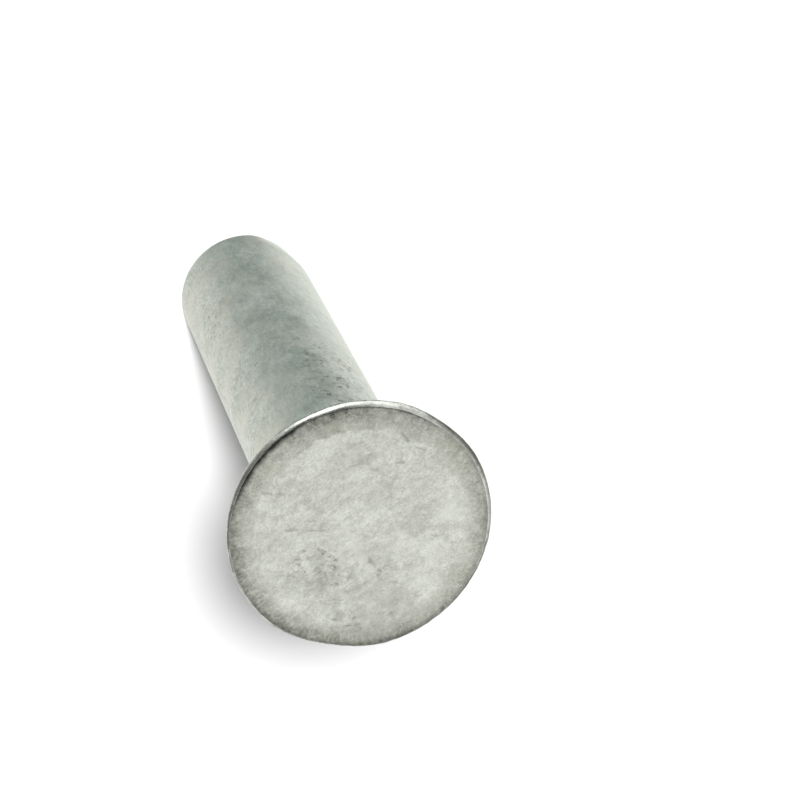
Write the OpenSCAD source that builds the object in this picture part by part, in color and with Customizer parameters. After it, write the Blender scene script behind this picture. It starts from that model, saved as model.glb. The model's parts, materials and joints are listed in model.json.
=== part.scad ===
// Countersunk rivet
//
// A solid rivet, cold-headed from one length of round aluminium wire: a plain shank with a
// cropped tail, and a flat head whose underside is the cone that seats in a countersunk hole.
// Millimetres. The rivet stands on its tail, whose end lies on z = 0 at the origin, with the
// head up along +Z. The whole form is one section turned about Z. In the section, x is the
// distance from the axis and y is the height.

/* [Shank] */
// Overall length, from the end of the tail to the face of the head
overall_l = 22; // [14:1:60]
// Diameter of the shank
shank_d = 5; // [3:0.5:6.5]
// Radius round the end of the tail
tail_edge_r = 0.25; // [0.05:0.05:0.8]

/* [Head] */
// Diameter across the rim
head_d = 8.8; // [7.4:0.1:12]
// Included angle of the countersink
cone_angle = 75; // [60:5:120]
// Radius of the bulged rim, from the countersink to the edge of the face
rim_r = 0.23; // [0.1:0.01:0.4]
// How steeply the rim starts down at the edge of the face, in degrees from level
rim_start = 26; // [20:1:60]
// Radius in the neck, where the countersink meets the shank
neck_r = 0.5; // [0.1:0.1:1]

/* [Face] */
// Width of the border that falls away from the flat middle of the face
border_w = 0.62; // [0.5:0.02:1]
// How far the border would fall, from the flat middle to the full diameter of the head
border_fall = 0.05; // [0.02:0.01:0.1]
// Radius that eases the flat middle into the border
border_blend_r = 4; // [0.5:0.5:5]

/* [Hidden] */
$fn = 160;

shank_r = shank_d / 2;
head_r = head_d / 2;
half_cone = cone_angle / 2;
border_slope = atan2(border_fall, border_w);

// Each arc crosses the lines that it rounds by this much, so that no step is left where
// they meet, and each cut or fill reaches past its corner
arc_overlap = 0.00005;
corner_overlap = 0.02;

// Directions in the section, in degrees from +x towards +y
up = 90;
inward = 180;
down = 270;
up_the_seat = up - half_cone;
out_of_the_seat = -half_cone;
down_the_border = 360 - border_slope;

function along(direction) = [cos(direction), sin(direction)];

// Points of the head's section, measured from the face
border_corner = [head_r - border_w, 0];
edge_x = head_r - rim_r * (1 - sin(rim_start));
face_edge = [edge_x, -(edge_x - border_corner.x) * tan(border_slope)];
rim_centre = face_edge - rim_r * along(up - rim_start);
seat_end = rim_centre + rim_r * along(out_of_the_seat);
neck_corner = seat_end - (seat_end.x - shank_r) * [1, 1 / tan(half_cone)];

// The corner where the countersink and the border would meet, which the rim's bulge cuts off
border_over_seat_end = face_edge.y - (seat_end.x - face_edge.x) * tan(border_slope) - seat_end.y;
seat_climb = sin(up_the_seat) + cos(up_the_seat) * tan(border_slope);
rim_corner = seat_end + border_over_seat_end / seat_climb * along(up_the_seat);

// What an arc of radius r leaves of a corner, where it rounds the two lines that run from
// the corner in the directions from and to: cut off an outer corner, added to an inner one
module corner_rest(corner, from, to, r) {
    half_angle = (to - from) / 2;
    middle = along(from + half_angle);
    reach = r / tan(half_angle);
    centre = corner + r / sin(half_angle) * middle;
    difference() {
        polygon([
            corner - corner_overlap * middle,
            corner + reach * along(from),
            centre,
            corner + reach * along(to)
        ]);
        translate(centre) circle(r + arc_overlap);
    }
}

// What the bulge of the rim leaves of its corner
module rim_rest() {
    difference() {
        polygon([
            rim_centre,
            seat_end,
            rim_corner + corner_overlap * along(out_of_the_seat),
            rim_corner + corner_overlap * along(up),
            face_edge
        ]);
        translate(rim_centre) circle(rim_r + arc_overlap);
    }
}

module shank_section() {
    difference() {
        square([shank_r, overall_l + seat_end.y]);
        corner_rest([shank_r, 0], up, inward, tail_edge_r);
    }
}

// Drawn with its face on y = 0
module head_section() {
    difference() {
        polygon([
            [0, neck_corner.y],
            neck_corner,
            rim_corner,
            border_corner,
            [0, 0]
        ]);
        corner_rest(border_corner, inward, down_the_border, border_blend_r);
        rim_rest();
    }
    corner_rest(neck_corner, down - 360, up_the_seat, neck_r);
}

module rivet() {
    color("#c6c9c0") rotate_extrude() {
        shank_section();
        translate([0, overall_l]) head_section();
    }
}

rivet();
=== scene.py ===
import json
import math
import bmesh
import bpy
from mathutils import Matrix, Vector


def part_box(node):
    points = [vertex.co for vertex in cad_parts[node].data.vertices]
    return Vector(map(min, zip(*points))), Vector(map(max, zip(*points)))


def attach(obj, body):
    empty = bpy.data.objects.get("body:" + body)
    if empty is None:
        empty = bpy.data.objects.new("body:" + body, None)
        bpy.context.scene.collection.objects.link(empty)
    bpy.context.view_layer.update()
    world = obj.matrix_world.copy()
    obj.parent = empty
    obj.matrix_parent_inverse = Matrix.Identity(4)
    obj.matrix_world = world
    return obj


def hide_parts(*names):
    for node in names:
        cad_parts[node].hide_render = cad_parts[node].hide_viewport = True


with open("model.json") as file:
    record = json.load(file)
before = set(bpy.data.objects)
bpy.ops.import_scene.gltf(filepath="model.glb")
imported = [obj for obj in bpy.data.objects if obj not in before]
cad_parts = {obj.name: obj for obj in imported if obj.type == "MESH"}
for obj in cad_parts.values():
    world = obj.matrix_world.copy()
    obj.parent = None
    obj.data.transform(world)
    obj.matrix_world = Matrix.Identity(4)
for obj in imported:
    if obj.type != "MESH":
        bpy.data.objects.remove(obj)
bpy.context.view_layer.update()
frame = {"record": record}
print("frame loaded")


# the rivet is drawn in millimetres and brought to metres at the end
metresPerMillimetre = 0.001
closeEnough = 0.002  # how near a corner has to be to count as at a height or a radius

rivetForm = {
    "segments": 320,  # corners round the axis, a multiple of four for the grids that fill the ends
    "coneAngle": 75,
    "borderWidth": 0.62,
    "borderFall": 0.05,
    "tailEdge": 0.25,
    "neckRound": 0.5,
    "rimRadius": 0.23,
    "rimStart": 26,  # how steeply the rim leaves the edge of the face, from level
    "rimSteps": 14,
    "faceEdge": 0.04,
    "borderBlend": 4,
    "roundSteps": 8,  # rows of faces across each round
    "ringGap": 0.15,  # height between the rings along the shank and the seat
}

# how the headed and cropped blank strays from the true form, always inside it
strayForm = {
    "faceShift": (0.06, 0, 0),  # the face sits a little to one side on the head
    "faceShiftReach": 0.28,
    "faceFall": 0.06,  # the corners down to here below the top shift in full
    # where the skin is pushed in: angle round the axis, how far in, how far up and over what reach
    "rimDents": [(50, 0.1, 0, 2.2), (208, 0.045, 0, 1.8), (238, 0.02, 0, 1.2), (265, 0.03, 0, 1.5)],
    "rimDentDrop": 0.25,  # below the top
    "tailDents": [(200, 0.12, 0.2, 1.6), (225, 0.03, 0.05, 0.8), (20, 0.02, 0.04, 1.2)],
    "tailDentRise": 0.1,  # above the end
    # soft waves over the whole skin
    "waves": {"size": 1.8, "octaves": 2, "depth": 0.012},
    # small nicks along the rim, where it is near enough to the top and far enough out
    "nicks": {"size": 0.3, "octaves": 2, "depth": 0.03},
    "nickDrop": 0.45,
    "nickRadius": 4.05,
}


def sizesFromFrame():
    low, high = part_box("rivet")
    mounts = {mount["name"]: mount for mount in frame["record"]["mounts"]}
    return {
        "length": (high.z - low.z) / metresPerMillimetre,
        "headRadius": (high.x - low.x) / 2 / metresPerMillimetre,
        "shankRadius": mounts["shank"]["dims"]["r_mm"],
    }


def placeAt(angle, radius, height):
    turn = math.radians(angle)
    return Vector((radius * math.cos(turn), radius * math.sin(turn), height))


def select(piece, kind, wanted):
    # selects the corners, edges or faces that pass the test, in edit mode
    mesh = bmesh.from_edit_mesh(piece.data)
    bpy.ops.mesh.select_all(action="DESELECT")
    for part in getattr(mesh, kind):
        if wanted(part):
            part.select_set(True)
    bmesh.update_edit_mesh(piece.data)


def ringAt(height, radius):
    # a test for the edges that run round the axis at one height and radius
    def onRing(edge):
        return all(
            abs(corner.co.z - height) < closeEnough
            and abs(corner.co.to_2d().length - radius) < closeEnough
            for corner in edge.verts
        )
    return onRing


def uprightBetween(low, high):
    # a test for the edges that run up from one height to the other
    def isUpright(edge):
        heights = sorted(corner.co.z for corner in edge.verts)
        return abs(heights[0] - low) < closeEnough and abs(heights[1] - high) < closeEnough
    return isUpright


def bevelRing(piece, height, radius, turn, roundRadius, steps):
    # turn is the angle between the two surfaces that meet at the ring
    select(piece, "edges", ringAt(height, radius))
    bpy.ops.mesh.bevel(
        offset=roundRadius * math.tan(math.radians(turn) / 2),
        offset_type="OFFSET",
        segments=steps,
        profile=0.5,
        affect="EDGES",
        clamp_overlap=False,
    )


def addRings(piece, low, high, gap):
    select(piece, "edges", uprightBetween(low, high))
    bpy.ops.mesh.subdivide(number_cuts=round((high - low) / gap))


def fillEnd(piece, height, span):
    # swaps the end's one big face for an even grid
    def isEnd(face):
        return len(face.verts) > 4 and abs(face.calc_center_median().z - height) < closeEnough
    select(piece, "faces", isEnd)
    bpy.ops.mesh.delete(type="ONLY_FACE")
    select(piece, "edges", lambda edge: edge.is_boundary)
    bpy.ops.mesh.fill_grid(span=span)


def climb(piece, height, radius):
    # draws the selected end up to a new height and radius
    mesh = bmesh.from_edit_mesh(piece.data)
    top = next(corner.co.copy() for corner in mesh.verts if corner.select)
    bpy.ops.mesh.extrude_region_move(TRANSFORM_OT_translate={"value": (0, 0, height - top.z)})
    spread = radius / top.to_2d().length
    bpy.ops.transform.resize(value=(spread, spread, 1), center_override=(0, 0, height))


def turnRivet(form, sizes):
    halfCone = math.radians(form["coneAngle"] / 2)
    rimStart = math.radians(form["rimStart"])
    slope = math.atan2(form["borderFall"], form["borderWidth"])
    flatRadius = sizes["headRadius"] - form["borderWidth"]
    rim = form["rimRadius"]
    edgeRadius = sizes["headRadius"] - rim * (1 - math.sin(rimStart))
    edgeFall = (edgeRadius - flatRadius) * math.tan(slope)
    rimCentre = sizes["length"] - edgeFall - rim * math.cos(rimStart)
    seatTop = rimCentre - rim * math.sin(halfCone)
    seatRadius = sizes["headRadius"] - rim * (1 - math.cos(halfCone))
    neckHeight = seatTop - (seatRadius - sizes["shankRadius"]) / math.tan(halfCone)

    bpy.ops.object.select_all(action="DESELECT")
    bpy.ops.mesh.primitive_cylinder_add(
        vertices=form["segments"],
        radius=sizes["shankRadius"],
        depth=neckHeight,
        location=(0, 0, neckHeight / 2),
    )
    piece = bpy.context.active_object
    piece.name = "rivetBody"
    bpy.ops.object.transform_apply(location=True, rotation=False, scale=False)

    bpy.ops.object.mode_set(mode="EDIT")
    bpy.ops.mesh.select_mode(type="FACE")
    # head: the cone of the seat, the bulge of the rim and the falling border of the face
    select(piece, "faces", lambda face: face.calc_center_median().z > neckHeight - closeEnough)
    climb(piece, seatTop, seatRadius)
    rimEnd = math.pi / 2 - rimStart
    for step in range(1, form["rimSteps"] + 1):
        angle = -halfCone + (rimEnd + halfCone) * step / form["rimSteps"]
        reach = sizes["headRadius"] - rim * (1 - math.cos(angle))
        climb(piece, rimCentre + rim * math.sin(angle), reach)
    bpy.ops.mesh.inset(thickness=edgeRadius - flatRadius, depth=edgeFall)

    # rounds at every edge
    bpy.ops.mesh.select_mode(type="EDGE")
    halfTurn = form["coneAngle"] / 2
    steps = form["roundSteps"]
    edgeTurn = form["rimStart"] - math.degrees(slope)
    bevelRing(piece, 0, sizes["shankRadius"], 90, form["tailEdge"], steps)
    bevelRing(piece, neckHeight, sizes["shankRadius"], halfTurn, form["neckRound"], steps)
    bevelRing(piece, sizes["length"] - edgeFall, edgeRadius, edgeTurn, form["faceEdge"], steps // 2)
    bevelRing(piece, sizes["length"], flatRadius, math.degrees(slope), form["borderBlend"], steps)

    # even rows of faces between the rounds, and a grid on each end
    neckReach = form["neckRound"] * math.tan(math.radians(halfTurn) / 2)
    addRings(piece, form["tailEdge"], neckHeight - neckReach, form["ringGap"])
    addRings(piece, neckHeight + neckReach * math.cos(halfCone), seatTop, form["ringGap"])
    fillEnd(piece, 0, form["segments"] // 4)
    fillEnd(piece, sizes["length"], form["segments"] // 4)

    bpy.ops.object.mode_set(mode="OBJECT")
    return piece


def pushIn(piece, place, depth, rise, reach):
    # moves the place on the skin towards the axis and up, with all within reach
    mesh = bmesh.from_edit_mesh(piece.data)
    nearest = min(mesh.verts, key=lambda corner: (corner.co - place).length).index
    select(piece, "verts", lambda corner: corner.index == nearest)
    inwards = -Vector((place.x, place.y, 0)).normalized()
    bpy.ops.transform.translate(
        value=depth * inwards + Vector((0, 0, rise)),
        use_proportional_edit=True,
        proportional_edit_falloff="SMOOTH",
        proportional_size=reach,
    )


def roughen(piece, name, form, group=""):
    # inward waves from a cloud texture
    texture = bpy.data.textures.new(name, "CLOUDS")
    texture.noise_scale = form["size"]
    texture.noise_depth = form["octaves"]
    waves = piece.modifiers.new(name, "DISPLACE")
    waves.texture = texture
    waves.texture_coords = "LOCAL"
    waves.mid_level = 1
    waves.strength = form["depth"]
    waves.vertex_group = group
    bpy.ops.object.modifier_apply(modifier=name)


def strayFromTrue(piece, form, sizes):
    length = sizes["length"]
    bpy.ops.object.mode_set(mode="EDIT")
    bpy.ops.mesh.select_mode(type="VERT")
    select(piece, "verts", lambda corner: corner.co.z > length - form["faceFall"])
    bpy.ops.transform.translate(
        value=form["faceShift"],
        use_proportional_edit=True,
        proportional_edit_falloff="SMOOTH",
        proportional_size=form["faceShiftReach"],
    )
    for angle, depth, rise, reach in form["rimDents"]:
        place = placeAt(angle, sizes["headRadius"], length - form["rimDentDrop"])
        pushIn(piece, place, depth, rise, reach)
    for angle, depth, rise, reach in form["tailDents"]:
        pushIn(piece, placeAt(angle, sizes["shankRadius"], form["tailDentRise"]), depth, rise, reach)

    def onRim(corner):
        return corner.co.z > length - form["nickDrop"] and corner.co.to_2d().length > form["nickRadius"]
    select(piece, "verts", onRim)
    bpy.ops.object.vertex_group_add()
    bpy.ops.object.vertex_group_assign()
    bpy.ops.object.mode_set(mode="OBJECT")
    roughen(piece, "waves", form["waves"])
    roughen(piece, "nicks", form["nicks"], piece.vertex_groups[0].name)


def finishPiece(piece):
    # from millimetres to metres, with faces smooth and pointing out
    bpy.ops.object.mode_set(mode="EDIT")
    bpy.ops.mesh.select_all(action="SELECT")
    bpy.ops.mesh.normals_make_consistent(inside=False)
    bpy.ops.transform.resize(value=(metresPerMillimetre,) * 3, center_override=(0, 0, 0))
    bpy.ops.object.mode_set(mode="OBJECT")
    bpy.ops.object.shade_smooth()


class Wiring:
    # a metal being wired: each call adds a node and gives back its output
    def __init__(self, name):
        self.material = bpy.data.materials.new(name)
        self.material.use_nodes = True
        self.nodes = self.material.node_tree.nodes
        self.links = self.material.node_tree.links
        self.shader = self.nodes["Principled BSDF"]
        self.shader.inputs["Metallic"].default_value = 1
        coordinate = self.nodes.new("ShaderNodeTexCoord")
        self.place = self.mapping(coordinate.outputs["Object"], (1 / metresPerMillimetre,) * 3)

    def wire(self, socket, value):
        if isinstance(value, bpy.types.NodeSocket):
            self.links.new(value, socket)
        else:
            socket.default_value = value

    def mapping(self, vector, scale, turn=(0, 0, 0)):
        node = self.nodes.new("ShaderNodeMapping")
        node.inputs["Scale"].default_value = scale
        node.inputs["Rotation"].default_value = [math.radians(angle) for angle in turn]
        self.wire(node.inputs["Vector"], vector)
        return node.outputs["Vector"]

    def noise(self, form, vector=None):
        vector = vector or self.place
        if "turn" in form:
            vector = self.mapping(vector, (1, 1, 1), form["turn"])
        if "stretch" in form:
            vector = self.mapping(vector, form["stretch"])
        node = self.nodes.new("ShaderNodeTexNoise")
        node.inputs["Scale"].default_value = 1 / form["size"]
        node.inputs["Detail"].default_value = form["octaves"]
        node.inputs["Roughness"].default_value = form["evenness"]
        self.wire(node.inputs["Vector"], vector)
        return node.outputs["Fac"]

    def cloud(self, form, vector=None):
        # noise brought to a share, from 0 at low to 1 at high
        return self.share(self.noise(form, vector), form["low"], form["high"])

    def math(self, operation, first, second=0.0):
        node = self.nodes.new("ShaderNodeMath")
        node.operation = operation
        self.wire(node.inputs[0], first)
        self.wire(node.inputs[1], second)
        return node.outputs[0]

    def times(self, first, second):
        return self.math("MULTIPLY", first, second)

    def less(self, first, second):
        return self.math("SUBTRACT", first, second)

    def centred(self, value):
        # a noise or share that goes from 0 to 1, brought to either side of nought
        return self.less(value, 0.5)

    def weigh(self, base, *parts):
        # the base plus each part times its weight
        for value, weight in parts:
            base = self.math("ADD", base, self.times(value, weight))
        return base

    def vector(self, operation, first, second=(0, 0, 0)):
        node = self.nodes.new("ShaderNodeVectorMath")
        node.operation = operation
        self.wire(node.inputs[0], first)
        self.wire(node.inputs[1], second)
        return node.outputs["Value" if operation in ("DOT_PRODUCT", "LENGTH") else "Vector"]

    def scaled(self, vector, factor):
        node = self.nodes.new("ShaderNodeVectorMath")
        node.operation = "SCALE"
        self.wire(node.inputs[0], vector)
        self.wire(node.inputs["Scale"], factor)
        return node.outputs["Vector"]

    def flat(self, vector):
        return self.vector("MULTIPLY", vector, (1, 1, 0))

    def share(self, value, low, high):
        node = self.nodes.new("ShaderNodeMapRange")
        node.interpolation_type = "SMOOTHSTEP"
        self.wire(node.inputs["Value"], value)
        self.wire(node.inputs["From Min"], low)
        self.wire(node.inputs["From Max"], high)
        return node.outputs["Result"]

    def side(self, outward, towards, edge):
        # the share that lies towards a direction: edge holds the cosines where it starts and is full
        lean = self.vector("DOT_PRODUCT", outward, Vector(towards).normalized())
        return self.share(lean, *edge)

    def blend(self, factor, below, above):
        node = self.nodes.new("ShaderNodeMixRGB")
        self.wire(node.inputs["Fac"], factor)
        self.wire(node.inputs["Color1"], below)
        self.wire(node.inputs["Color2"], above)
        return node.outputs["Color"]

    def unevenRoughness(self, form, cloud):
        return self.weigh(form["roughness"] - form["polish"] / 2, (cloud, form["polish"]))

    def finish(self, colour, roughness, height, depth):
        # height is shown as bumps of this depth, in millimetres
        self.wire(self.shader.inputs["Base Color"], colour)
        self.wire(self.shader.inputs["Roughness"], roughness)
        bump = self.nodes.new("ShaderNodeBump")
        bump.inputs["Distance"].default_value = depth * metresPerMillimetre
        self.wire(bump.inputs["Height"], height)
        self.wire(self.shader.inputs["Normal"], bump.outputs["Normal"])
        return self.material


# the ragged outline of a handled place, its size and wander counted in reaches
smudgeOutline = {"size": 0.7, "octaves": 4, "evenness": 0.7, "wander": 2}
# the ragged outline of a scratch, its wander and softness counted in half widths
scratchOutline = {"size": 0.12, "octaves": 3, "evenness": 0.7, "wander": 4, "softness": 1.8}


def smudgeOn(metal, place, centre, reach, darkness):
    # a round handled place
    away = metal.vector("LENGTH", metal.vector("SUBTRACT", place, centre))
    ragged = metal.noise({**smudgeOutline, "size": reach * smudgeOutline["size"]})
    away = metal.weigh(away, (metal.centred(ragged), reach * smudgeOutline["wander"]))
    return metal.times(metal.less(1.0, metal.share(away, 0.0, reach)), darkness)


def scratchOn(metal, start, end, halfWidth, strength):
    # a straight scratch across the face, stronger in places
    start = Vector((*start, 0))
    run = Vector((*end, 0)) - start
    fromStart = metal.vector("SUBTRACT", metal.flat(metal.place), start)
    along = metal.math("DIVIDE", metal.vector("DOT_PRODUCT", fromStart, run), run.length_squared)
    along = metal.math("MINIMUM", metal.math("MAXIMUM", along, 0.0), 1.0)
    away = metal.vector("LENGTH", metal.vector("SUBTRACT", fromStart, metal.scaled(run, along)))
    ragged = metal.centred(metal.noise(scratchOutline))
    away = metal.weigh(away, (ragged, halfWidth * scratchOutline["wander"]))
    near = metal.less(1.0, metal.share(away, 0.0, halfWidth * scratchOutline["softness"]))
    return metal.times(near, strength)


# each noise below has its size in millimetres, and low and high are where its share starts and is full
faceFinish = {
    "name": "tumbledFace",
    "dark": (0.445, 0.455, 0.4, 1),
    "light": (0.865, 0.885, 0.81, 1),
    "roughness": 0.42,
    "polish": 0.12,  # how far the roughness changes with the mottling
    "bumps": {"size": 0.13, "octaves": 3, "evenness": 0.6},
    "bumpShare": 0.5,
    "bumpDepth": 0.006,
    "cloud": {
        "size": 1.4, "stretch": (0.9, 1.1, 1), "turn": (0, 0, -5), "octaves": 6, "evenness": 0.95,
        "low": 0.28, "high": 0.72,
    },
    "cloudShare": 0.85,
    "grain": {"size": 0.075, "octaves": 2, "evenness": 0.8, "low": 0.25, "high": 0.75},
    "grainShare": 0.32,
    "mottleBase": -0.085,
    # short scratches all one way, in places
    "streaks": {
        "size": 0.42, "stretch": (0.4, 1.6, 1), "turn": (0, 0, -12), "octaves": 4, "evenness": 0.85,
        "low": 0.48, "high": 0.7,
    },
    "streakPlaces": {"size": 1.8, "octaves": 3, "evenness": 0.5, "low": 0.42, "high": 0.62},
    "streakShare": 0.5,
    "streakTone": (0.4, 0.41, 0.355, 1),
    "blotches": {"size": 0.75, "octaves": 6, "evenness": 0.85, "low": 0.52, "high": 0.68},
    "blotchShare": 0.5,
    "blotchTone": (0.4, 0.41, 0.36, 1),
    "lightTone": (0.85, 0.87, 0.8, 1),
    # single scratches: from, to, half width, how strong and whether light or dark
    "scratches": [
        ((1.1, -0.54), (1.6, -0.82), 0.03, 0.32, "dark"),
        ((1.9, -1.0), (2.2, -1.16), 0.06, 0.38, "dark"),
        ((2.32, -2.72), (2.1, -2.56), 0.05, 0.4, "dark"),
        ((1.95, -2.45), (1.75, -2.35), 0.08, 0.35, "dark"),
        ((-1.94, -1.56), (-2.2, -1.42), 0.05, 0.35, "dark"),
        ((-1.94, 1.36), (-2.1, 1.5), 0.04, 0.25, "dark"),
        ((-2.5, -2.42), (-2.58, -2.1), 0.05, 0.5, "dark"),
        ((-2.7, -1.75), (-2.95, -1.5), 0.04, 0.3, "dark"),
        ((-1.1, -1.75), (-1.3, -1.6), 0.04, 0.3, "dark"),
        ((-0.55, -2.2), (-0.85, -2.1), 0.03, 0.3, "dark"),
        ((0.19, 1.38), (0.23, 1.2), 0.06, 0.4, "dark"),
        ((-0.2, 2.32), (-0.02, 2.2), 0.05, 0.3, "dark"),
        ((1.15, 0.45), (1.45, -0.05), 0.04, 0.5, "light"),
        ((1.45, -0.05), (1.66, -0.5), 0.035, 0.3, "light"),
        ((1.66, -0.5), (1.72, -0.8), 0.03, 0.2, "light"),
    ],
    # lighter and darker places: centre, reach, how strong and which of the two
    "tonePlaces": [
        ((0.75, 0.35), 0.9, 0.5, "light"),
        ((-2.8, 0.9), 0.8, 0.4, "light"),
        ((1.1, 3.0), 1.5, 0.4, "dark"),
        ((-0.3, 3.5), 1.0, 0.3, "dark"),
        ((-0.2, 1.5), 1.2, 0.25, "dark"),
        ((-1.0, -2.6), 1.3, 0.25, "dark"),
        ((-0.8, -0.8), 0.9, 0.25, "dark"),
    ],
    # handled places: centre, reach and how dark
    "smudges": [
        ((1.85, 0.55), 1.25, 0.85),
        ((1.6, 0.7), 0.5, 0.3),
        ((2.5, 0.15), 0.6, 0.35),
        ((1.45, 1.1), 0.55, 0.5),
        ((1.5, 1.42), 0.18, 0.6),
        ((0.05, 1.75), 0.45, 0.45),
        ((0.2, 1.2), 0.25, 0.3),
        ((1.95, -1.05), 0.45, 0.4),
        ((1.1, -0.85), 0.6, 0.3),
        ((2.0, -2.5), 0.4, 0.45),
        ((-2.1, -1.5), 0.45, 0.5),
        ((-1.5, -1.25), 0.4, 0.4),
        ((-1.05, -2.1), 0.4, 0.45),
        ((0.6, -3.6), 0.5, 0.5),
        ((-0.6, -3.6), 0.6, 0.5),
        ((2.0, 3.0), 1.2, 0.5),
        ((0.9, 3.3), 1.0, 0.35),
        ((-0.2, 3.5), 0.8, 0.35),
        ((3.9, 0.9), 0.5, 0.35),
        ((1.6, 2.3), 1.2, 0.3),
        ((0.1, 1.5), 1.0, 0.3),
        ((-0.9, -0.6), 1.2, 0.25),
        ((-1.3, -2.4), 1.0, 0.35),
        ((-0.8, -3.1), 0.9, 0.4),
        ((-2.34, 3.44), 0.25, 0.5),
    ],
    "leastHandled": 0.1,
    "mostHandled": 0.85,
    # what gathers in them: soft grey clouds and small dark specks
    "haze": {"size": 0.38, "octaves": 4, "evenness": 0.7, "low": 0.42, "high": 0.64},
    "hazeShare": 0.38,
    "specks": {
        "size": 0.17, "stretch": (0.8, 1.2, 1), "turn": (0, 0, 25), "octaves": 2, "evenness": 0.65,
        "low": 0.53, "high": 0.68,
    },
    "speckShare": 0.5,
    "speckTone": (0.16, 0.165, 0.14, 1),
}

# the darker border of the face, partly its own burnished tone and partly a painted dark reflection: a
# first step and then a slow fade outwards, further in on its dark side, where painted shade deepens it
borderFinishAndShade = {
    "step": (3.44, 3.55),
    "fade": (3.45, 4.1),
    "stepShare": 0.22,
    "darkStepShare": 0.33,  # added on the dark side
    "darkTowards": (-0.25, -1, 0),
    "darkEdge": (0.1, 0.9),
    "darkLean": 0.03,
    "wander": {"size": 0.9, "octaves": 5, "evenness": 0.85},
    "wanderReach": 0.8,
    "strength": 0.92,
    # painted light and shade by side, where the border is lighter or darker: angle round the face, reach
    # to each side and how much
    "paintedShades": [
        (50, 55, -0.3),
        (125, 45, 0.14),
        (188, 32, 0.14),
        (260, 20, -0.28),
        (300, 22, 0.1),
        (345, 25, -0.15),
    ],
    "dark": (0.2, 0.205, 0.175, 1),
    "light": (0.6, 0.61, 0.54, 1),
    "patches": {"size": 0.5, "octaves": 5, "evenness": 1.0, "low": 0.3, "high": 0.7},
    "patchShare": 0.8,
    "hatchedPatchShare": -0.35,  # added where the short marks are strongest
    "grainShare": 0.3,
    "warm": {"size": 0.9, "turn": (40, 0, 0), "octaves": 3, "evenness": 0.5, "low": 0.52, "high": 0.68},
    "warmShare": 0.4,
    "warmTone": (0.50, 0.49, 0.385, 1),
    "roughness": 0.34,
    # short marks that run out across it, strongest on one side
    "hatch": {"size": 1, "octaves": 4, "evenness": 0.75, "low": 0.36, "high": 0.64},
    "hatchRound": 16,  # how closely the marks stand round the face
    "hatchAlong": 4,  # and how soon they change along themselves
    "hatchTowards": (0.85, 0.52, 0),
    "hatchEdge": (0.1, 0.8),
    "hatchShare": 0.15,
    "hatchedShare": 0.45,  # added where they are strongest
}

# the painted shade along the crease at the edge of the face, a dark fade and line that stand in for shade
# and a dark reflection; a side is a direction and the cosines where it starts and is full
edgeShadeForm = {
    "radius": 4.27,
    "tone": (0.03, 0.03, 0.025, 1),
    "uneven": {"size": 0.4, "octaves": 5, "evenness": 0.85, "low": 0.3, "high": 0.65},
    # a soft fade of painted shade all round
    "fadeWidth": 0.26,
    "fadeSide": ((0.6, 0.8, 0), (0.4, 0.95)),
    "fadeShares": (0.12, 0.3, 0.3),  # all round, on its side and where uneven
    # a dark line of painted shade on one side, and a black one along part of that
    "lineWidth": 0.085,
    "lineSide": ((-0.1, -1, 0), (0.1, 0.75)),
    "blackSide": ((0.42, -0.91, 0), (0.9, 0.98)),
    "blackWidth": 0.1275,
    "lineShares": (0.75, 0.2, 0.2),  # on its side, where uneven and where black
}


def tumbledColour(metal, form, cloud, grain):
    mottle = metal.weigh(form["mottleBase"], (cloud, form["cloudShare"]), (grain, form["grainShare"]))
    colour = metal.blend(mottle, form["dark"], form["light"])
    streaks = metal.times(metal.cloud(form["streaks"]), metal.cloud(form["streakPlaces"]))
    colour = metal.blend(metal.times(streaks, form["streakShare"]), colour, form["streakTone"])
    blotches = metal.times(metal.cloud(form["blotches"]), form["blotchShare"])
    colour = metal.blend(blotches, colour, form["blotchTone"])
    for start, end, halfWidth, strength, kind in form["scratches"]:
        tone = form["lightTone"] if kind == "light" else form["speckTone"]
        colour = metal.blend(scratchOn(metal, start, end, halfWidth, strength), colour, tone)
    return colour


def borderShare(metal, form, outward, radius):
    # how much of the border shows: it fades in outwards and wanders
    darkSide = metal.vector("DOT_PRODUCT", outward, Vector(form["darkTowards"]).normalized())
    wander = metal.centred(metal.noise(form["wander"]))
    wandered = metal.weigh(radius, (wander, form["wanderReach"]), (darkSide, form["darkLean"]))
    dark = metal.share(darkSide, *form["darkEdge"])
    stepShare = metal.weigh(form["stepShare"], (dark, form["darkStepShare"]))
    step = metal.share(wandered, *form["step"])
    fade = metal.share(wandered, *form["fade"])
    return metal.weigh(0.0, (step, stepShare), (fade, metal.less(1.0, stepShare)))


def borderHatch(metal, form, outward):
    radial = metal.scaled(outward, form["hatchRound"])
    radial = metal.vector("ADD", radial, metal.scaled(metal.place, form["hatchAlong"]))
    return metal.cloud(form["hatch"], radial)


def borderColour(metal, form, outward, hatch, grain):
    hatchSide = metal.side(outward, form["hatchTowards"], form["hatchEdge"])
    hatchShare = metal.weigh(form["hatchShare"], (hatchSide, form["hatchedShare"]))
    patchShare = metal.weigh(form["patchShare"], (hatchSide, form["hatchedPatchShare"]))
    tone = metal.weigh(
        0.0,
        (hatch, hatchShare),
        (metal.cloud(form["patches"]), patchShare),
        (metal.centred(grain), form["grainShare"]),
    )
    # painted light and shade on the sides of the border
    for angle, reach, change in form["paintedShades"]:
        shade = metal.side(outward, placeAt(angle, 1, 0), (math.cos(math.radians(reach)), 1.0))
        tone = metal.weigh(tone, (shade, change))
    colour = metal.blend(tone, form["dark"], form["light"])
    warm = metal.times(metal.cloud(form["warm"]), form["warmShare"])
    return metal.blend(warm, colour, form["warmTone"])


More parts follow.
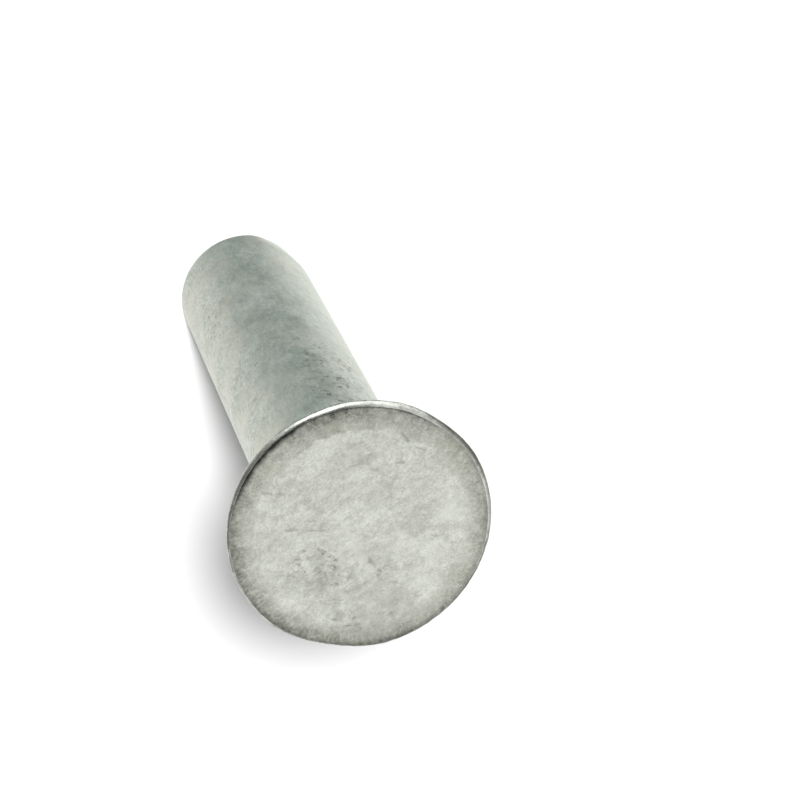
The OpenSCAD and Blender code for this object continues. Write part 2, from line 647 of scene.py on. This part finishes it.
def handleFace(metal, form, colour):
    # lighter and darker places, and then what handling left
    facePlace = metal.flat(metal.place)
    for centre, reach, strength, kind in form["tonePlaces"]:
        tone = form["lightTone"] if kind == "light" else form["blotchTone"]
        colour = metal.blend(smudgeOn(metal, facePlace, (*centre, 0), reach, strength), colour, tone)
    handled = form["leastHandled"]
    for centre, reach, darkness in form["smudges"]:
        smudge = smudgeOn(metal, facePlace, (*centre, 0), reach, darkness)
        handled = metal.math("ADD", handled, smudge)
    handled = metal.math("MINIMUM", handled, form["mostHandled"])
    specks = metal.weigh(
        0.0,
        (metal.cloud(form["haze"]), form["hazeShare"]),
        (metal.cloud(form["specks"]), form["speckShare"]),
    )
    return metal.blend(metal.times(handled, specks), colour, form["speckTone"])


# paints shade along the crease at the face's edge: a soft dark fade and a dark line, darker on one side
def paintEdgeShade(metal, form, outward, radius):
    fadeSide = metal.side(outward, *form["fadeSide"])
    lineSide = metal.side(outward, *form["lineSide"])
    blackSide = metal.side(outward, *form["blackSide"])
    uneven = metal.cloud(form["uneven"])
    gap = metal.less(form["radius"], radius)

    allRound, onSide, whereUneven = form["fadeShares"]
    fadeStrength = metal.weigh(allRound, (fadeSide, onSide), (uneven, whereUneven))
    fade = metal.times(metal.less(1.0, metal.share(gap, 0.0, form["fadeWidth"])), fadeStrength)

    onSide, whereUneven, whereBlack = form["lineShares"]
    lineStrength = metal.weigh(
        0.0,
        (lineSide, onSide),
        (uneven, whereUneven),
        (blackSide, whereBlack),
    )
    width = metal.weigh(
        form["lineWidth"],
        (metal.times(uneven, lineSide), form["lineWidth"]),
        (blackSide, form["blackWidth"]),
    )
    line = metal.times(metal.less(1.0, metal.share(gap, 0.0, width)), lineStrength)
    return metal.math("MAXIMUM", fade, line)


def makeFace(form):
    metal = Wiring(form["name"])
    flatPlace = metal.flat(metal.vector("SUBTRACT", metal.place, strayForm["faceShift"]))
    radius = metal.vector("LENGTH", flatPlace)
    outward = metal.vector("NORMALIZE", flatPlace)
    cloud = metal.cloud(form["cloud"])
    grain = metal.cloud(form["grain"])
    border = borderShare(metal, borderFinishAndShade, outward, radius)
    hatch = borderHatch(metal, borderFinishAndShade, outward)

    colour = tumbledColour(metal, form, cloud, grain)
    borderTone = borderColour(metal, borderFinishAndShade, outward, hatch, grain)
    # the darker border: partly its own tone, partly painted dark reflection and shade
    colour = metal.blend(metal.times(border, borderFinishAndShade["strength"]), colour, borderTone)
    colour = handleFace(metal, form, colour)
    # the painted shade along the crease at the edge of the face
    colour = metal.blend(paintEdgeShade(metal, edgeShadeForm, outward, radius), colour, edgeShadeForm["tone"])

    roughness = metal.unevenRoughness(form, cloud)
    roughness = metal.weigh(roughness, (border, borderFinishAndShade["roughness"] - form["roughness"]))
    height = metal.weigh(0.0, (metal.noise(form["bumps"]), form["bumpShare"]), (hatch, border))
    return metal.finish(colour, roughness, height, form["bumpDepth"])


shankFinish = {
    "name": "drawnShank",
    "dark": (0.47, 0.495, 0.445, 1),
    "light": (0.78, 0.805, 0.75, 1),
    "roughness": 0.44,
    "polish": 0.12,
    "bumps": {"size": 0.16, "octaves": 3, "evenness": 0.6},
    "bumpLines": {"size": 0.25, "stretch": (1, 1, 0.06), "octaves": 3, "evenness": 0.5},
    "bumpLineShare": 0.4,
    "bumpDepth": 0.006,
    "cloud": {
        "size": 1.0, "stretch": (1, 1, 0.6), "octaves": 5, "evenness": 0.95, "low": 0.25, "high": 0.75,
    },
    "grain": {
        "size": 0.1, "stretch": (1, 1, 0.6), "octaves": 2, "evenness": 0.9, "low": 0.25, "high": 0.75,
    },
    "mottleBase": 0.47,
    # how strong the two are all over, and what is added on the coarse flank
    "cloudShares": (0.85, 0.6),
    "grainShares": (0.34, 0.4),
    "coarseSide": ((0.85, -0.53, 0), (0.7, 0.98)),
    "warm": {"size": 2.2, "turn": (30, 0, 0), "octaves": 4, "evenness": 0.6, "low": 0.42, "high": 0.62},
    "warmShare": 0.4,
    "warmTone": (0.74, 0.7, 0.62, 1),
    "drawLines": {
        "size": 0.2, "stretch": (1, 1, 0.25), "octaves": 4, "evenness": 0.7, "low": 0.5, "high": 0.72,
    },
    "drawShare": 0.35,
    "drawTone": (0.43, 0.45, 0.4, 1),
    # handled places: on the upper part of one side, and a little elsewhere
    "handledRise": (9.5, 14.5),
    "handledSide": ((-0.7, -0.71, 0), (0.78, 0.97)),
    "handled": {"size": 0.8, "octaves": 5, "evenness": 0.7, "low": 0.4, "high": 0.6},
    "elsewhere": {"size": 1.6, "octaves": 3, "evenness": 0.5, "low": 0.4, "high": 0.62},
    "elsewhereShares": (0.12, 0.35),  # all over, and added on the coarse flank
    # what gathers in them: soft grey clouds and small dark specks
    "haze": {
        "size": 0.6, "stretch": (1, 1, 0.8), "octaves": 5, "evenness": 0.8, "low": 0.42, "high": 0.66,
    },
    "hazeShare": 0.4,
    "specks": {
        "size": 0.17, "stretch": (1, 1, 0.9), "octaves": 1, "evenness": 0.5, "low": 0.53, "high": 0.72,
    },
    "speckShare": 0.65,
    "mostSpecks": 0.8,
    "speckTone": (0.16, 0.158, 0.138, 1),
    # soft dark spots: angle round the axis, height, reach and how dark
    "spots": [
        (240, 9.35, 0.3, 0.4), (234, 9.5, 0.2, 0.3), (225, 10.0, 0.2, 0.35), (219, 8.35, 0.2, 0.3),
        (246, 14.55, 0.25, 0.35), (235, 13.4, 0.25, 0.35), (206, 11.8, 0.25, 0.3),
        (239, 15.85, 0.35, 0.35), (236, 16.75, 0.35, 0.45), (228, 15.2, 0.3, 0.3),
        (322, 7.5, 0.18, 0.5), (288, 11.9, 0.14, 0.4), (290, 5.3, 0.35, 0.25),
        (302, 2.0, 0.4, 0.25), (318, 2.8, 0.3, 0.2), (312, 12.5, 0.2, 0.3), (305, 9.0, 0.15, 0.3),
    ],
    "spotShare": 0.45,
}


def makeShank(form, radius):
    metal = Wiring(form["name"])
    parts = metal.nodes.new("ShaderNodeSeparateXYZ")
    metal.wire(parts.inputs[0], metal.place)
    outward = metal.vector("NORMALIZE", metal.flat(metal.place))
    coarse = metal.side(outward, *form["coarseSide"])
    cloud = metal.cloud(form["cloud"])
    grain = metal.cloud(form["grain"])
    allOver, added = form["cloudShares"]
    cloudShare = metal.weigh(allOver, (coarse, added))
    allOver, added = form["grainShares"]
    grainShare = metal.weigh(allOver, (coarse, added))
    mottle = metal.weigh(
        form["mottleBase"],
        (metal.centred(cloud), cloudShare),
        (metal.centred(grain), grainShare),
    )
    colour = metal.blend(mottle, form["dark"], form["light"])
    warm = metal.times(metal.cloud(form["warm"]), form["warmShare"])
    colour = metal.blend(warm, colour, form["warmTone"])
    drawn = metal.times(metal.cloud(form["drawLines"]), form["drawShare"])
    colour = metal.blend(drawn, colour, form["drawTone"])

    rise = metal.share(parts.outputs["Z"], *form["handledRise"])
    handled = metal.times(rise, metal.side(outward, *form["handledSide"]))
    handled = metal.times(handled, metal.cloud(form["handled"]))
    allOver, added = form["elsewhereShares"]
    elsewhere = metal.times(metal.cloud(form["elsewhere"]), metal.weigh(allOver, (coarse, added)))
    spots = 0.0
    for angle, height, reach, darkness in form["spots"]:
        spot = smudgeOn(metal, metal.place, placeAt(angle, radius, height), reach, darkness)
        spots = metal.math("MAXIMUM", spots, spot)
    haze = metal.times(metal.cloud(form["haze"]), metal.times(handled, form["hazeShare"]))
    haze = metal.weigh(haze, (spots, form["spotShare"]))
    colour = metal.blend(haze, colour, form["speckTone"])
    amount = metal.math("ADD", elsewhere, spots)
    amount = metal.weigh(amount, (handled, form["speckShare"]))
    specks = metal.times(metal.cloud(form["specks"]), amount)
    specks = metal.math("MINIMUM", specks, form["mostSpecks"])
    colour = metal.blend(specks, colour, form["speckTone"])

    lines = metal.noise(form["bumpLines"])
    height = metal.weigh(metal.noise(form["bumps"]), (lines, form["bumpLineShare"]))
    return metal.finish(colour, metal.unevenRoughness(form, cloud), height, form["bumpDepth"])


rimFinish = {
    "name": "burnishedRim",
    "dark": (0.42, 0.425, 0.385, 1),
    "light": (0.74, 0.75, 0.71, 1),
    "roughness": 0.26,
    "polish": 0.1,
    "bumps": {"size": 0.3, "octaves": 4, "evenness": 0.6},
    "bumpDepth": 0.01,
    "cloud": {"size": 0.45, "octaves": 6, "evenness": 0.9, "low": 0.32, "high": 0.62},
    # where painted shade and dark reflection make the rim darker: towards, the cosines where it starts
    # and is full, and how much
    "rimShade": [((0.8, -0.6, 0), (0.72, 0.97), 0.8), ((-0.96, -0.29, 0), (0.92, 0.985), 0.6)],
    "rimShadePatches": {"size": 0.5, "octaves": 4, "evenness": 0.7, "low": 0.25, "high": 0.6},
    "rimShadeTone": (0.2, 0.2, 0.18, 1),
}


def makeRim(form):
    metal = Wiring(form["name"])
    outward = metal.vector("NORMALIZE", metal.flat(metal.place))
    cloud = metal.cloud(form["cloud"])
    colour = metal.blend(cloud, form["dark"], form["light"])
    patches = metal.cloud(form["rimShadePatches"])
    # painted shade and dark reflection on two sides of the rim, in patches
    for towards, edge, strength in form["rimShade"]:
        rimShade = metal.times(metal.side(outward, towards, edge), patches)
        colour = metal.blend(metal.times(rimShade, strength), colour, form["rimShadeTone"])
    height = metal.noise(form["bumps"])
    return metal.finish(colour, metal.unevenRoughness(form, cloud), height, form["bumpDepth"])


tailFinish = {
    "name": "croppedTail",
    "dark": (0.38, 0.385, 0.35, 1),
    "light": (0.68, 0.69, 0.65, 1),
    "roughness": 0.4,
    "polish": 0.1,
    "bumps": {"size": 0.3, "stretch": (0.3, 1, 1), "turn": (0, 0, 20), "octaves": 4, "evenness": 0.6},
    "bumpDepth": 0.02,
    "cloud": {
        "size": 0.7, "stretch": (0.25, 1.3, 1), "turn": (0, 0, 20), "octaves": 6, "evenness": 0.85,
        "low": 0.34, "high": 0.66,
    },
}


def makeTail(form):
    metal = Wiring(form["name"])
    cloud = metal.cloud(form["cloud"])
    colour = metal.blend(cloud, form["dark"], form["light"])
    height = metal.noise(form["bumps"])
    return metal.finish(colour, metal.unevenRoughness(form, cloud), height, form["bumpDepth"])


# where each finish goes: how far below the top the rim and the face reach, and how far up the tail
finishPlaces = {"rimDrop": 0.45, "faceDrop": 0.1, "tailRise": 0.01}


def assignFinish(piece, material, wanted):
    piece.data.materials.append(material)
    piece.active_material_index = len(piece.data.materials) - 1
    bpy.ops.object.mode_set(mode="EDIT")
    bpy.ops.mesh.select_mode(type="FACE")
    select(piece, "faces", wanted)
    bpy.ops.object.material_slot_assign()
    bpy.ops.object.mode_set(mode="OBJECT")


def dressRivet(piece, places, sizes):
    # the shank's finish goes on all over, and then the rim, the face and the tail get theirs
    length = sizes["length"]
    rim = rivetForm["rimRadius"] * (1 - math.sin(math.radians(rivetForm["rimStart"])))
    edgeRadius = sizes["headRadius"] - rim

    def onRim(face):
        return face.calc_center_median().z > length - places["rimDrop"]

    def onFace(face):
        centre = face.calc_center_median()
        return centre.z > length - places["faceDrop"] and centre.to_2d().length < edgeRadius

    def onTail(face):
        return face.calc_center_median().z < places["tailRise"]

    assignFinish(piece, makeShank(shankFinish, sizes["shankRadius"]), lambda face: True)
    assignFinish(piece, makeRim(rimFinish), onRim)
    assignFinish(piece, makeFace(faceFinish), onFace)
    assignFinish(piece, makeTail(tailFinish), onTail)


sizes = sizesFromFrame()
rivetBody = turnRivet(rivetForm, sizes)
print("rivet turned:", len(rivetBody.data.vertices), "corners")
dressRivet(rivetBody, finishPlaces, sizes)
print("finishes made")
strayFromTrue(rivetBody, strayForm, sizes)
finishPiece(rivetBody)
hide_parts("rivet")
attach(rivetBody, "root")
print("rivet done")


floorForm = {
    "size": 4,
    "colour": (0.9, 0.9, 0.9, 1),
}


def makeFloor(form):
    bpy.ops.object.select_all(action="DESELECT")
    bpy.ops.mesh.primitive_plane_add(size=form["size"])
    floor = bpy.context.active_object
    floor.name = "floor"
    floor.visible_glossy = False  # the metal mirrors the studio's light and not the white floor
    paint = bpy.data.materials.new("floorPaint")
    paint.use_nodes = True
    shader = paint.node_tree.nodes["Principled BSDF"]
    shader.inputs["Base Color"].default_value = form["colour"]
    shader.inputs["Roughness"].default_value = 1
    shader.inputs["Specular IOR Level"].default_value = 0
    floor.data.materials.append(paint)


studioForm = {
    "backdrop": (1, 1, 1, 1),
    "ambient": (0.26, 0.265, 0.26, 1),
    "sunTurn": (27.4, -5.2, 0),  # how far the sun leans from straight above, about X and then about Y
    "sunBreadth": 8,
    "sunStrength": 3.4,
    # what the metal mirrors: the room, and over it each patch with its name, its direction,
    # the cosines where it starts and is full, and its light
    "room": (0.8, 0.83, 0.81, 1),
    "patches": [
        ("ceiling", (0, 0.45, 0.9), (0.26, 0.64), (1.02, 1.02, 1.02, 1)),
        ("backWall", (0.05, 0.96, -0.25), (0.7, 0.9), (0.24, 0.24, 0.22, 1)),
        ("floorBack", (0.05, 0.4, -0.9), (0.7, 0.94), (1.25, 1.25, 1.2, 1)),
        ("floorRight", (-0.3, 0.38, -0.88), (0.92, 0.99), (1.5, 1.55, 1.5, 1)),
        ("leftWall", (0.85, -0.5, 0.05), (0.6, 0.86), (0.4, 0.4, 0.38, 1)),
        ("rightWall", (-0.9, 0.2, -0.3), (0.79, 0.93), (0.28, 0.28, 0.25, 1)),
        ("floorFront", (-0.15, -0.42, -0.9), (0.84, 0.97), (0.24, 0.3, 0.29, 1)),
        ("cameraStand", (0, -0.5, 0.85), (0.8, 0.93), (0.06, 0.06, 0.06, 1)),
        ("windowLeft", (-0.31, -0.95, -0.1), (0.85, 0.93), (2.4, 2.4, 2.4, 1)),
        ("windowRight", (-0.7, -0.66, -0.1), (0.84, 0.93), (1.5, 1.5, 1.5, 1)),
    ],
}


def makeStudioLight(form):
    world = bpy.data.worlds.new("studio")
    bpy.context.scene.world = world
    world.use_nodes = True
    world.cycles.sampling_method = "NONE"
    nodes = world.node_tree.nodes
    links = world.node_tree.links

    def blend(factor, below, colour):
        mix = nodes.new("ShaderNodeMixRGB")
        links.new(factor, mix.inputs["Fac"])
        if isinstance(below, tuple):
            mix.inputs["Color1"].default_value = below
        else:
            links.new(below, mix.inputs["Color1"])
        mix.inputs["Color2"].default_value = colour
        return mix.outputs["Color"]

    coordinate = nodes.new("ShaderNodeTexCoord")
    light = form["room"]
    for name, towards, edge, patchLight in form["patches"]:
        lean = nodes.new("ShaderNodeVectorMath")
        lean.operation = "DOT_PRODUCT"
        lean.inputs[1].default_value = Vector(towards).normalized()
        links.new(coordinate.outputs["Generated"], lean.inputs[0])
        share = nodes.new("ShaderNodeMapRange")
        share.name = name
        share.interpolation_type = "SMOOTHSTEP"
        share.inputs["From Min"].default_value = edge[0]
        share.inputs["From Max"].default_value = edge[1]
        links.new(lean.outputs["Value"], share.inputs["Value"])
        light = blend(share.outputs["Result"], light, patchLight)
    # the patches are only mirrored: matte things get the ambient light, and behind it all is the backdrop
    ray = nodes.new("ShaderNodeLightPath")
    light = blend(ray.outputs["Is Diffuse Ray"], light, form["ambient"])
    light = blend(ray.outputs["Is Camera Ray"], light, form["backdrop"])
    links.new(light, nodes["Background"].inputs["Color"])

    sun = bpy.data.lights.new("sun", "SUN")
    sun.energy = form["sunStrength"]
    sun.angle = math.radians(form["sunBreadth"])
    holder = bpy.data.objects.new("sun", sun)
    bpy.context.scene.collection.objects.link(holder)
    holder.rotation_euler = [math.radians(angle) for angle in form["sunTurn"]]
    holder.visible_glossy = False


cameraForm = {
    "place": (0, -0.04466, 0.10745),
    "turn": (-22.652, -12.63, 156.386),
    "lens": 134.4,
    "sensor": 36,
    "nearest": 0.005,
    "farthest": 20,
}


def makeCamera(form):
    bpy.ops.object.camera_add(
        location=form["place"],
        rotation=[math.radians(angle) for angle in form["turn"]],
    )
    camera = bpy.context.active_object
    camera.name = "camera"
    camera.data.lens = form["lens"]
    camera.data.sensor_width = form["sensor"]
    camera.data.clip_start = form["nearest"]
    camera.data.clip_end = form["farthest"]
    bpy.context.scene.camera = camera


makeFloor(floorForm)
makeStudioLight(studioForm)
makeCamera(cameraForm)
bpy.context.scene.view_settings.view_transform = "Standard"
print("stage and camera made")
